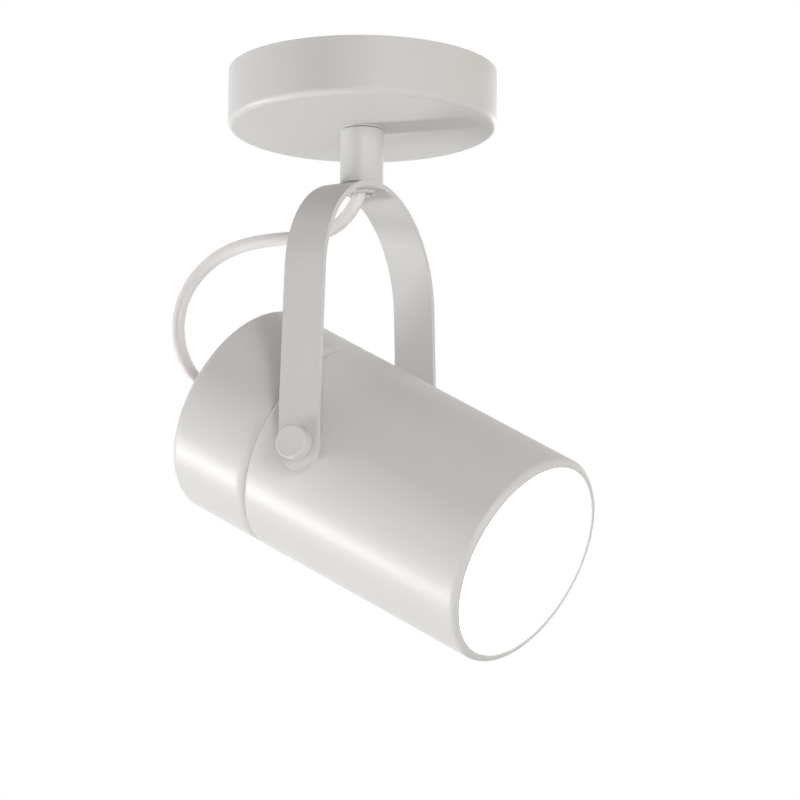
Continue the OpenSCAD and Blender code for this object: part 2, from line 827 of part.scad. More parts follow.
module rear_cap() {
    color(paint)
        at_head()
            difference() {
                rotate_extrude()
                    difference() {
                        union() {
                            translate([0, -rear_s + rear_edge_r])
                                square([head_r, rear_s - seam_s - rear_edge_r - cap_shoulder_l]);
                            translate([0, -rear_s])
                                square([head_r - rear_edge_r, 2 * rear_edge_r]);
                            translate([head_r - rear_edge_r, -rear_s + rear_edge_r])
                                circle(r = rear_edge_r);
                            intersection() {
                                translate([head_r - cap_shoulder_r, -seam_s - cap_shoulder_l])
                                    circle(r = cap_shoulder_r);
                                translate([bore_r - spigot_wall, -seam_s - cap_shoulder_l - eps])
                                    square([2 * head_wall + spigot_wall, cap_shoulder_l + eps]);
                            }
                            translate([0, -seam_s - cap_shoulder_l - eps])
                                square([spigot_r, cap_shoulder_l + spigot_l + eps]);
                        }
                        translate([0, cap_inside_s])
                            square([spigot_r - spigot_wall, 2 * rear_s]);
                        translate([0, cap_inside_s])
                            square([bore_r, rear_s - rear_wall - seam_s - spigot_back]);
                    }
                translate([0, 0, -rear_s - eps])
                    cylinder(r = boot_neck_r + run_gap, h = rear_wall + 2 * eps);
                translate([0, 0, -rear_s])
                    at_posts() {
                        translate([0, 0, -eps])
                            cylinder(d = tie_d + 2 * run_gap, h = rear_wall + 2 * eps, $fn = small_fn);
                        cylinder(d1 = tie_head_d + 2 * run_gap, d2 = tie_d + 2 * run_gap, h = tie_head_h,
                            $fn = small_fn);
                    }
            }
}

module light_panel() {
    color([1, 1, 0.98])
        at_head() {
            translate([0, 0, panel_s])
                cylinder(r = panel_r, h = panel_t);
            translate([0, 0, panel_s])
                cylinder(r = lip_d / 2 - panel_step_gap, h = panel_t + panel_step);
        }
}

module panel_gasket() {
    color(rubber_white)
        at_head()
            ring(panel_r, reflector_front_r + 0.5, gasket_t, gasket_s);
}

module reflector() {
    color(bare_alu)
        at_head()
            difference() {
                union() {
                    translate([0, 0, sink_s])
                        cylinder(r1 = reflector_back_r, r2 = reflector_front_r,
                            h = reflector_s - sink_s + eps);
                    translate([0, 0, reflector_s])
                        cylinder(r = inner_fit_r, h = reflector_flange_t);
                }
                translate([0, 0, sink_s - eps])
                    cylinder(r1 = reflector_back_r - reflector_t, r2 = reflector_front_r - reflector_t,
                        h = reflector_s + reflector_flange_t - sink_s + 2 * eps);
            }
}

board_screw_angles = [60, 180, 300];
board_screw_at = board_d / 2 - 3.5;
board_screw_r = 1.45;
board_screw_in = 3;

module led_board() {
    color("white")
        at_head()
            difference() {
                translate([0, 0, sink_s])
                    cylinder(d = board_d, h = board_t);
                translate([0, 0, sink_s - eps])
                    cylinder(r = 2.5, h = board_t + 2 * eps, $fn = small_fn);
                for (a = board_screw_angles)
                    rotate(a)
                        translate([board_screw_at, 0, sink_s - eps])
                            cylinder(r = board_screw_r + thread_gap, h = board_t + 2 * eps, $fn = small_fn);
            }
}

led_inner_r = 8.5;
led_outer_r = 15.5;
led_h = 0.8;

module led_packages() {
    color("khaki")
        at_head()
            translate([0, 0, board_top_s]) {
                for (i = [0 : 5])
                    rotate(i * 60 + 30)
                        translate([led_inner_r - led_side / 2, -led_side / 2, 0])
                            cube([led_side, led_side, led_h]);
                for (i = [0 : 11])
                    rotate(i * 30 + 15)
                        translate([led_outer_r - led_side / 2, -led_side / 2, 0])
                            cube([led_side, led_side, led_h]);
            }
}

module board_screws() {
    color(steel)
        at_head()
            for (a = board_screw_angles)
                rotate(a)
                    translate([board_screw_at, 0, board_top_s])
                        pan_screw(board_screw_r, board_t + board_screw_in, 2.6, 1.6);
}

module heat_sink() {
    color(bare_alu)
        at_head()
            difference() {
                union() {
                    translate([0, 0, sink_s - sink_t])
                        cylinder(r = inner_fit_r, h = sink_t);
                    translate([0, 0, sink_s - sink_t - fin_l])
                        linear_extrude(fin_l + eps) {
                            circle(r = sink_core_r);
                            for (i = [0 : fin_count - 1])
                                rotate((i + 0.5) * 360 / fin_count)
                                    translate([fin_root_r, -fin_t / 2])
                                        square([fin_d / 2 - fin_root_r, fin_t]);
                        }
                }
                translate([0, 0, sink_s - sink_t - fin_l - eps])
                    cylinder(r = lead_hole_r, h = fin_l + sink_t + 2 * eps);
                translate([0, 0, sink_s - sink_t - eps])
                    at_posts()
                        cylinder(d = tie_d + 2 * run_gap, h = sink_t + 2 * eps, $fn = small_fn);
                for (a = board_screw_angles)
                    rotate(a)
                        translate([board_screw_at, 0, sink_s - board_screw_in - eps])
                            cylinder(r = board_screw_r + thread_gap, h = board_screw_in + 2 * eps,
                                $fn = small_fn);
            }
}

module snap_ring() {
    color(steel)
        at_head()
            difference() {
                ring(bore_r + snap_depth - 0.1, bore_r - snap_w, snap_t, snap_s);
                rotate(30)
                    translate([0, -snap_gap_w / 2, snap_s - eps])
                        cube([head_r, snap_gap_w, snap_t + 2 * eps]);
            }
}

driver_screw_edge = 4;
driver_screw_y = driver_l / 2 - driver_screw_edge;
driver_screw_r = 1.25;
driver_screw_in = 6;

module driver_plate() {
    color(steel)
        at_head()
            difference() {
                translate([0, 0, -driver_plate_s])
                    cylinder(r = spigot_r - spigot_wall - slide_gap, h = driver_plate_t);
                translate([0, 0, -driver_plate_s - eps]) {
                    cylinder(r = lead_hole_r, h = driver_plate_t + 2 * eps, $fn = small_fn);
                    at_posts()
                        cylinder(d = tie_d + 2 * run_gap, h = driver_plate_t + 2 * eps, $fn = small_fn);
                    for (s = [-1, 1])
                        translate([0, s * driver_screw_y, 0])
                            cylinder(r = driver_screw_r + thread_gap, h = driver_plate_t + 2 * eps,
                                $fn = small_fn);
                }
            }
}

module driver() {
    color("dimgray")
        at_head()
            difference() {
                translate([-driver_w / 2, -driver_l / 2, driver_back_s])
                    cube([driver_w, driver_l, driver_h]);
                for (s = [-1, 1])
                    translate([0, s * driver_screw_y, -driver_plate_s - driver_screw_in - eps])
                        cylinder(r = driver_screw_r + thread_gap, h = driver_screw_in + 2 * eps,
                            $fn = small_fn);
            }
}

module driver_screws() {
    color(steel)
        at_head()
            for (s = [-1, 1])
                translate([0, s * driver_screw_y, -driver_plate_s + driver_plate_t])
                    pan_screw(driver_screw_r, driver_plate_t + driver_screw_in, 2.6, 1.6);
}

module standoffs(s0, s1) {
    color(brass)
        at_head()
            at_posts()
                ring(post_d / 2, tie_d / 2 + run_gap, s1 - s0, s0, $fn = small_fn);
}

module rear_standoffs() {
    standoffs(cap_inside_s, -driver_plate_s);
}

module front_standoffs() {
    standoffs(-driver_plate_s + driver_plate_t, sink_s - sink_t);
}

module tie_screws() {
    color(steel)
        at_head()
            translate([0, 0, -rear_s])
                at_posts()
                    difference() {
                        union() {
                            cylinder(d1 = tie_head_d, d2 = tie_d, h = tie_head_h, $fn = small_fn);
                            cylinder(d = tie_d, h = rear_s + sink_s - 1, $fn = small_fn);
                        }
                        for (a = [0, 90])
                            rotate(a)
                                translate([-1.6, -0.3, -eps])
                                    cube([3.2, 0.6, 0.9]);
                    }
}

module cable_boot() {
    color(rubber_white)
        at_head()
            difference() {
                union() {
                    translate([0, 0, boot_tip_s])
                        cylinder(r1 = boot_tip_r, r2 = boot_root_r, h = boot_l - boot_flange_h + eps);
                    translate([0, 0, -rear_s - boot_flange_h])
                        cylinder(r = boot_flange_r, h = boot_flange_h);
                    translate([0, 0, -rear_s - eps])
                        cylinder(r = boot_neck_r, h = rear_wall + 2 * eps);
                    translate([0, 0, cap_inside_s])
                        cylinder(r = boot_lock_r, h = boot_lock_h);
                }
                translate([0, 0, boot_tip_s - eps])
                    cylinder(r = flex_r + run_gap, h = boot_l + rear_wall + boot_lock_h + 2 * eps);
            }
}

module head_flex() {
    color(paint)
        at_head()
            translate([0, 0, boot_tip_s])
                cylinder(r = flex_r, h = flex_end_s - boot_tip_s);
}

module flex_stop() {
    color(nylon)
        at_head()
            ring(flex_stop_r, flex_r + run_gap, flex_stop_h, cap_inside_s + boot_lock_h);
}

module driver_cores() {
    color("tan")
        at_head()
            for (i = [0 : pole_count - 1])
                tube([
                    [0, pole_y(i, core_d + core_gap), flex_end_s],
                    [0, pole_y(i, core_d + core_gap), flex_end_s + core_straight],
                    [core_bow, pole_y(i), (flex_end_s + driver_back_s) / 2],
                    [core_land_x, pole_y(i, driver_l / 4), driver_back_s - core_bow],
                    [core_land_x, pole_y(i, driver_l / 4), driver_back_s]
                ], core_r, 8, [1, 0, 0]);
}

module led_leads() {
    color("tan")
        at_head()
            for (s = [-1, 1])
                tube([
                    [0, lead_y * s, -driver_plate_s],
                    [0, lead_y * s, board_top_s],
                    [0, (lead_y + lead_bow) * s, board_top_s + lead_rise],
                    [0, (lead_land_y - lead_bow) * s, board_top_s + lead_rise],
                    [0, lead_land_y * s, board_top_s + lead_bow],
                    [0, lead_land_y * s, board_top_s]
                ], lead_r, 8, [1, 0, 0]);
}

// Thread boss against the inside of the tube wall
module boss(side) {
    color(steel)
        at_head()
            difference() {
                intersection() {
                    towards_leg(side)
                        translate([0, 0, boss_top])
                            cylinder(r = boss_r, h = boss_l);
                    cylinder(r = bore_r, h = 2 * boss_d, center = true);
                }
                towards_leg(side)
                    cylinder(r = stud_r + thread_gap, h = head_r, $fn = 48);
            }
}

module near_boss() {
    boss(-1);
}

module far_boss() {
    boss(1);
}

// Saddle spacer between the tube wall and the nylon washer
module spacer(side) {
    color(paint)
        at_head()
            difference() {
                towards_leg(side)
                    cylinder(r = boss_r, h = spacer_top);
                cylinder(r = head_r, h = 2 * boss_d, center = true);
                towards_leg(side)
                    cylinder(r = stud_r + slide_gap, h = leg_out, $fn = 48);
            }
}

module near_spacer() {
    spacer(-1);
}

module far_spacer() {
    spacer(1);
}

module leg_washer(side) {
    color(nylon)
        at_head()
            towards_leg(side)
                ring(boss_r, shoulder_r + run_gap, pivot_washer_t, spacer_top);
}

module near_washer() {
    leg_washer(-1);
}

module far_washer() {
    leg_washer(1);
}

// Smooth round head of the thumb screw
module knob(side) {
    color(paint)
        at_head()
            towards_leg(side)
                translate([0, 0, shoulder_end])
                    rotate_extrude()
                        difference() {
                            union() {
                                square([knob_d / 2, knob_h - knob_edge_r]);
                                square([knob_d / 2 - knob_edge_r, knob_h]);
                                translate([knob_d / 2 - knob_edge_r, knob_h - knob_edge_r])
                                    circle(r = knob_edge_r);
                            }
                            translate([0, -eps])
                                square([stud_r, knob_h / 2 + eps]);
                        }
}

module near_knob() {
    knob(-1);
}

module far_knob() {
    knob(1);
}

// Shoulder and thread of the thumb screw
module stud(side) {
    color(steel)
        at_head()
            towards_leg(side) {
                translate([0, 0, boss_top])
                    cylinder(r = stud_r, h = shoulder_end + knob_h / 2 - boss_top, $fn = 48);
                translate([0, 0, spacer_top])
                    cylinder(r = shoulder_r, h = shoulder_end - spacer_top);
            }
}

module near_stud() {
    stud(-1);
}

module far_stud() {
    stud(1);
}

module spring_washer(side) {
    color(steel)
        at_head()
            towards_leg(side)
                ring(knob_d / 2 - 1, shoulder_r + run_gap, knob_washer_t, leg_out + run_gap);
}

module near_spring_washer() {
    spring_washer(-1);
}

module far_spring_washer() {
    spring_washer(1);
}

ceiling_plate();
canopy_cover();
canopy_lugs();
terminal_block();
terminal_tubes();
terminal_screws();
clamp_base();
clamp_strap();
plate_screws();
earth_screw();
canopy_flex();
canopy_cores();
nipple();
nipple_nut();
collar();
stop_pin();
swivel_washer();
wave_washer();
swivel_nut();
stem();
friction_washer();
stem_plug();
yoke();
cable_bush();
flex_loop();
head_tube();
rear_cap();
light_panel();
panel_gasket();
reflector();
led_board();
led_packages();
board_screws();
heat_sink();
snap_ring();
driver_plate();
driver();
driver_screws();
rear_standoffs();
front_standoffs();
tie_screws();
cable_boot();
head_flex();
flex_stop();
driver_cores();
led_leads();
near_boss();
far_boss();
near_spacer();
far_spacer();
near_washer();
far_washer();
near_knob();
far_knob();
near_stud();
far_stud();
near_spring_washer();
far_spring_washer();
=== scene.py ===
import bmesh
import bpy
import json
import math
from mathutils import Matrix, Vector


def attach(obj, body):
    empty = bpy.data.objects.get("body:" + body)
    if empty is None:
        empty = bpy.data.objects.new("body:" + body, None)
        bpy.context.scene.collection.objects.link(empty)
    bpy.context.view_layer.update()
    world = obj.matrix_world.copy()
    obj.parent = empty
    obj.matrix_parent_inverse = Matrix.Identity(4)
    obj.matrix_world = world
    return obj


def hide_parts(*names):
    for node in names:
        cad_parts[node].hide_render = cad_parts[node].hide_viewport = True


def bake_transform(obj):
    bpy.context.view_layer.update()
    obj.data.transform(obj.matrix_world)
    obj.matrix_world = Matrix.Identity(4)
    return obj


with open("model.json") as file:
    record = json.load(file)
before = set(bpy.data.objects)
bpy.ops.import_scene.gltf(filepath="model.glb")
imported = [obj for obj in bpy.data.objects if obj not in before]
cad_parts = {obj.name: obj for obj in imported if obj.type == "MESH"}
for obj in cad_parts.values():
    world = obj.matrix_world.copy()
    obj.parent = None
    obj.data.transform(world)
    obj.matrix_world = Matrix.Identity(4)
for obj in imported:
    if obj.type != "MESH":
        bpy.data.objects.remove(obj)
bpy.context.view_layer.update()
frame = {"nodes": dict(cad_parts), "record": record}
cadNodes = frame["nodes"]
scene = bpy.context.scene
mm = 0.001
up = Vector((0, 0, 1))


print("spotlight: camera")
camera = {
    "around": 60.883,           # degrees from the beam's side towards the near leg
    "below": 12.524,            # degrees under the level
    "roll": 0.477,
    "distance": 2.5,
    "lens": 254.39,
    "aim": (0, 0, -0.130),      # the point it turns about
    "slide": (0.017703, -0.019714),
}


def placeCamera(spec):
    turn, dip, roll = (math.radians(spec[k]) for k in ("around", "below", "roll"))
    level = Vector((math.cos(turn), -math.sin(turn), 0))
    back = level * math.cos(dip) - up * math.sin(dip)
    top = up * math.cos(dip) + level * math.sin(dip)
    side = top.cross(back)
    right = side * math.cos(roll) + top * math.sin(roll)
    top = top * math.cos(roll) - side * math.sin(roll)
    lens = bpy.data.cameras.new("photo camera")
    lens.lens, lens.sensor_width = spec["lens"], 36
    lens.clip_start, lens.clip_end = 0.1, 50
    body = bpy.data.objects.new("photo camera", lens)
    place = Matrix((right, top, back)).transposed().to_4x4()
    place.translation = (
        Vector(spec["aim"]) + back * spec["distance"] + right * spec["slide"][0] + top * spec["slide"][1]
    )
    body.matrix_world = place
    scene.collection.objects.link(body)
    scene.camera = body


placeCamera(camera)


def newPiece(name, mesh, body, replaced=()):
    piece = bpy.data.objects.new(name, mesh)
    scene.collection.objects.link(piece)
    if body:
        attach(piece, body)
    if replaced:
        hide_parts(*replaced)
    return piece


def meshFrom(bm, name, place=None, smoothBelow=35):
    if place:
        bmesh.ops.transform(bm, matrix=place, space=Matrix(), verts=bm.verts)
    for face in bm.faces:
        face.smooth = True
    mesh = bpy.data.meshes.new(name)
    bm.to_mesh(mesh)
    bm.free()
    mesh.set_sharp_from_angle(angle=math.radians(smoothBelow))
    return mesh


def spunMesh(name, corners, steps=128, place=None, smoothBelow=35):
    # corners of a closed outline: radius and height in mm, then how far a rounding reaches and its steps
    bm = bmesh.new()
    points = [bm.verts.new((corner[0] * mm, 0, corner[1] * mm)) for corner in corners]
    bm.faces.new(points)
    for point, corner in zip(points, corners):
        if len(corner) > 2:
            bmesh.ops.bevel(bm, geom=[point], offset=corner[2] * mm, offset_type="OFFSET",
                            segments=corner[3], profile=0.5, affect="VERTICES", material=-1)
    bmesh.ops.delete(bm, geom=bm.faces[:], context="FACES_ONLY")
    onAxis = [e for e in bm.edges if all(v.co.x < 1e-7 for v in e.verts)]
    bmesh.ops.delete(bm, geom=onAxis, context="EDGES")
    bmesh.ops.spin(bm, geom=bm.verts[:] + bm.edges[:], cent=(0, 0, 0), axis=(0, 0, 1), dvec=(0, 0, 0),
                   angle=math.tau, steps=steps, use_merge=True, use_duplicate=False)
    bmesh.ops.remove_doubles(bm, verts=bm.verts, dist=1e-6)
    bmesh.ops.recalc_face_normals(bm, faces=bm.faces)
    return meshFrom(bm, name, place, smoothBelow)


def evenNormals(piece):
    level = piece.modifiers.new("even normals", "WEIGHTED_NORMAL")
    level.keep_sharp = True
    return piece


def applyModifiers(piece):
    bpy.context.view_layer.update()
    ready = bpy.data.meshes.new_from_object(piece.evaluated_get(bpy.context.evaluated_depsgraph_get()))
    ready.name = piece.name
    piece.modifiers.clear()
    piece.data = ready


def cutAway(piece, cutters):
    for cutter in cutters:
        tool = bpy.data.objects.new("cutter", cutter)
        scene.collection.objects.link(tool)
        cut = piece.modifiers.new("cut", "BOOLEAN")
        cut.operation, cut.solver, cut.object = "DIFFERENCE", "EXACT", tool
        applyModifiers(piece)
        bpy.data.objects.remove(tool)
        bpy.data.meshes.remove(cutter)
    bm = bmesh.new()
    bm.from_mesh(piece.data)
    bmesh.ops.remove_doubles(bm, verts=bm.verts, dist=2e-6)      # closes hairline gaps along the cuts
    bm.to_mesh(piece.data)
    bm.free()


def drillMesh(radius, depth, place):
    bm = bmesh.new()
    bmesh.ops.create_cone(bm, cap_ends=True, segments=64, radius1=radius * mm, radius2=radius * mm,
                          depth=depth * mm, matrix=place)
    mesh = bpy.data.meshes.new("cutter")
    bm.to_mesh(mesh)
    bm.free()
    return mesh


head = {
    "drop": 180.3,          # tilt axis under the ceiling
    "offset": 1.5,          # from there down to the head's own axis
    "tilt": 30,             # beam below the level
    "radius": 48.25,
    "wall": 2,
    "mouth": 97.5,          # from the tilt axis to the lip's front
    "lipOpening": 44.5,
    "lipRound": 3,
    "lipInnerRound": 0.5,
    "lipThick": 2,
    "seam": 24.5,
    "rear": 68,
    "rearRound": 4.5,
    "rearWall": 2.5,
    "shoulder": 6,          # radius of the soft edge behind the seam
    "shoulderLength": 4,
    "tubeEdge": 2.8,        # radius of the soft edge before it
    "seamGap": 0.05,
    "bootHole": 4.05,
    "bootHoleRound": 0.4,
    "spigotFront": 8,       # the cap's spigot inside the tube, from the seam forwards
    "spigotBack": 9,        # and from the seam backwards
    "spigotWall": 2,
}
pivotPlace = Matrix.Translation((0, 0, -head["drop"] * mm)) @ Matrix.Rotation(
    math.radians(90 + head["tilt"]), 4, "Y")
headPlace = pivotPlace @ Matrix.Translation((head["offset"] * mm, 0, 0))


print("spotlight: flex")
flex = {
    "radius": 3,
    "route": [              # x and z in the plane of the beam, from inside the stem to the boot's tip
        (0, -45.3), (0, -49), (-0.2, -52.2), (-1, -55.6), (-2.4, -58.9), (-4.6, -62.4), (-7.8, -66),
        (-12.4, -69.3), (-17.8, -71.3), (-23.4, -72.3), (-29.2, -72.5), (-34.9, -72.4), (-40.6, -72.2),
        (-46.4, -72.1), (-52.1, -72.2), (-57.8, -72.6), (-63.5, -73.5), (-69.1, -75), (-74.4, -77.1),
        (-79.3, -80), (-83.8, -83.6), (-87.7, -87.8), (-90.7, -92.7), (-92.8, -98), (-94, -103.6),
        (-94.2, -109.4), (-93.4, -115.1), (-91.8, -120.5), (-89.3, -125.7), (-86, -130.4), (-82.5, -134),
        (-79.558, -136.099), (-76.96, -137.599),
    ],
    "bendStart": (-0.0406, 0, -0.0722),   # a point on the route, in metres
}


def flexPiece(spec):
    route = [Vector((x * mm, 0, z * mm)) for x, z in spec["route"]]
    line = bpy.data.curves.new("flex line", "CURVE")
    line.dimensions, line.resolution_u, line.use_fill_caps = "3D", 6, True
    spline = line.splines.new("BEZIER")
    spline.bezier_points.add(len(route) - 1)
    for knot, point in zip(spline.bezier_points, route):
        knot.co = point
        knot.handle_left_type = knot.handle_right_type = "AUTO"
    guide = bpy.data.objects.new("flex line", line)
    scene.collection.objects.link(guide)
    bpy.context.view_layer.update()
    graph = bpy.context.evaluated_depsgraph_get()
    path = [v.co.copy() for v in bpy.data.meshes.new_from_object(guide.evaluated_get(graph)).vertices]
    line.bevel_depth, line.bevel_resolution = spec["radius"] * mm, 6
    bpy.context.view_layer.update()
    graph = bpy.context.evaluated_depsgraph_get()
    mesh = bpy.data.meshes.new_from_object(guide.evaluated_get(graph))
    mesh.name = "flex"
    bpy.data.objects.remove(guide)
    bm = bmesh.new()
    bm.from_mesh(mesh)
    bmesh.ops.remove_doubles(bm, verts=bm.verts, dist=1e-7)
    bmesh.ops.recalc_face_normals(bm, faces=bm.faces)
    for face in bm.faces:
        face.smooth = True
    bm.to_mesh(mesh)
    bm.free()
    mesh.set_sharp_from_angle(angle=math.radians(50))
    piece = newPiece("flex_cable", mesh, None, ("flex_loop",))
    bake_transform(piece)
    return piece


flexCable = flexPiece(flex)


print("spotlight: canopy and stem")
canopy = {
    "radius": 60, "height": 26.5, "wall": 1.5, "edgeRound": 3, "softEdge": 0.25, "bore": 5.05,
    "collar": 0.7, "gap": 0.3, "stemRadius": 9.75, "stemBottom": -52.3,
    "chamber": 8.2, "topWall": 5, "seatDepth": 0.25,
}


def canopyPieces(spec):
    floor = -spec["height"]
    inner = spec["radius"] - spec["wall"]
    shell = spunMesh("canopy_shell", [
        (spec["bore"], floor), (spec["radius"], floor, spec["edgeRound"], 14),
        (spec["radius"], 0, spec["softEdge"], 3), (inner, 0, spec["softEdge"], 3),
        (inner, floor + spec["wall"], spec["edgeRound"] - spec["wall"], 6),
        (spec["bore"], floor + spec["wall"]),
    ], 224)
    ring = spunMesh("collar_ring", [
        (spec["bore"], floor), (spec["bore"], floor - spec["collar"]),
        (spec["stemRadius"], floor - spec["collar"], spec["softEdge"], 4), (spec["stemRadius"], floor),
    ], 96)
    top = floor - spec["collar"] - spec["gap"]
    tube = spunMesh("stem_tube", [
        (spec["bore"], top), (spec["stemRadius"], top, spec["softEdge"], 4),
        (spec["stemRadius"], spec["stemBottom"]), (spec["chamber"], spec["stemBottom"]),
        (spec["chamber"], top - spec["topWall"]), (spec["bore"], top - spec["topWall"]),
    ], 96)
    seat = yoke["archRadius"] * mm
    centre = spec["stemBottom"] * mm - seat
    foot = (spec["stemBottom"] - spec["seatDepth"]) * mm
    for v in tube.vertices:      # the flat lower end is let a little into the crown of the arch
        if v.co.z < spec["stemBottom"] * mm + 1e-6:
            v.co.z = max(foot, centre + math.sqrt(seat * seat - v.co.y * v.co.y))
    return [
        evenNormals(newPiece("canopy_shell", shell, "canopy", ("canopy_cover",))),
        evenNormals(newPiece("collar_ring", ring, "canopy", ("collar",))),
        evenNormals(newPiece("stem_tube", tube, "yoke", ("stem",))),
    ]


yoke = {
    "width": 19.5, "thick": 2.5, "archRadius": 50.5, "splay": 3, "bendHeight": 18, "eyeDrop": 1.5,
    "holeRadius": 4.05, "centreHole": 5.05, "edge": 0.35, "hair": 0.01,
    "bushRadius": 6.3, "bushHeight": 1.8, "bushBore": 4.3, "bushNeck": 5, "neckRadius": 5,
    "bushRound": 0.49,      # share of the flange's width that its lip rounds off on each side
    "bushGap": 0.03,        # between the flange and the arch
}


def strapPiece(spec):
    r, thick, half = spec["archRadius"], spec["thick"], spec["width"] / 2
    splay = math.radians(spec["splay"])
    centre = canopy["stemBottom"] - r
    legTop = (r * math.cos(splay), centre + r * math.sin(splay))
    bend = -head["drop"] + spec["bendHeight"]
    legOut = legTop[0] + (legTop[1] - bend) * math.tan(splay)
    tip = -head["drop"] - spec["eyeDrop"] - half
    bm = bmesh.new()
    section = [(-half, r), (half, r), (half, r - thick), (-half, r - thick)]
    start = bm.faces.new([bm.verts.new((x * mm, y * mm, centre * mm)) for x, y in section])
    pivot = (0, 0, centre * mm)
    bmesh.ops.rotate(bm, verts=bm.verts, cent=pivot, matrix=Matrix.Rotation(splay, 3, "X"))
    bmesh.ops.spin(bm, geom=[start], cent=pivot, axis=(1, 0, 0), dvec=(0, 0, 0),
                   angle=math.pi - 2 * splay, steps=88, use_merge=False, use_duplicate=False)
    for side in (-1, 1):
        cap = min((f for f in bm.faces if abs(f.calc_area() - 2 * half * thick * mm * mm) < 1e-8),
                  key=lambda f: (f.calc_center_median().y * -side, f.calc_center_median().z))
        for outer, inner in (((legOut, bend), (legOut - thick, bend - thick * math.tan(splay / 2))),
                             ((legOut, tip), (legOut - thick, tip))):
            made = bmesh.ops.extrude_face_region(bm, geom=[cap])["geom"]
            bmesh.ops.delete(bm, geom=[cap], context="FACES_ONLY")
            cap = next(g for g in made if isinstance(g, bmesh.types.BMFace))
            corners = sorted(cap.verts, key=lambda v: v.co.y * side)
            for v in corners[:2]:
                v.co.y, v.co.z = side * inner[0] * mm, inner[1] * mm
            for v in corners[2:]:
                v.co.y, v.co.z = side * outer[0] * mm, outer[1] * mm
    ends = [e for e in bm.edges if abs(e.verts[0].co.x - e.verts[1].co.x) < 1e-7
            and max(v.co.z for v in e.verts) < (tip + spec["hair"]) * mm]
    bmesh.ops.bevel(bm, geom=ends, offset=(half - spec["hair"]) * mm, offset_type="OFFSET", segments=20,
                    profile=0.5, affect="EDGES", material=-1)      # half-round leg ends
    bmesh.ops.recalc_face_normals(bm, faces=bm.faces)
    piece = newPiece("yoke_strap", meshFrom(bm, "yoke_strap"), None)
    across = Matrix.Rotation(math.pi / 2, 4, "X")
    cutAway(piece, [
        drillMesh(spec["holeRadius"], 3 * r, Matrix.Translation((0, 0, -head["drop"] * mm)) @ across),
        drillMesh(spec["centreHole"], 8 * thick, Matrix.Translation((0, 0, canopy["stemBottom"] * mm))),
    ])
    piece.data.set_sharp_from_angle(angle=math.radians(30))
    # the clamp holds this rounding back: about 0.008 mm comes out, and the strap's edges look sharp
    soft = piece.modifiers.new("edges", "BEVEL")
    soft.width, soft.segments, soft.limit_method = spec["edge"] * mm, 3, "ANGLE"
    soft.angle_limit, soft.use_clamp_overlap = math.radians(40), True
    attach(piece, "yoke")
    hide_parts("yoke")
    return evenNormals(piece)


def bushPiece(spec):
    under = canopy["stemBottom"] - spec["thick"]
    neckTop = canopy["stemBottom"] + spec["bushNeck"]
    lip = (spec["bushRadius"] - spec["bushBore"]) * spec["bushRound"]
    mesh = spunMesh("cable_bush_ring", [
        (spec["bushBore"], under - spec["bushHeight"], lip, 8),
        (spec["bushRadius"], under - spec["bushHeight"], lip, 8), (spec["bushRadius"], under),
        (spec["neckRadius"], under), (spec["neckRadius"], neckTop), (spec["bushBore"], neckTop),
    ], 72)
    inside = (spec["archRadius"] - spec["thick"] - spec["bushGap"]) * mm
    centre = (canopy["stemBottom"] - spec["archRadius"]) * mm
    for v in mesh.vertices:      # the flange is shaped to the underside of the arch
        if math.hypot(v.co.x, v.co.y) > (spec["neckRadius"] + 0.1) * mm:
            v.co.z = min(v.co.z, centre + math.sqrt(inside * inside - v.co.y * v.co.y))
    return evenNormals(newPiece("cable_bush_ring", mesh, "yoke", ("cable_bush",)))


canopyParts = canopyPieces(canopy)
print("spotlight: yoke")
yokeStrap = strapPiece(yoke)
cableBush = bushPiece(yoke)


print("spotlight: head")


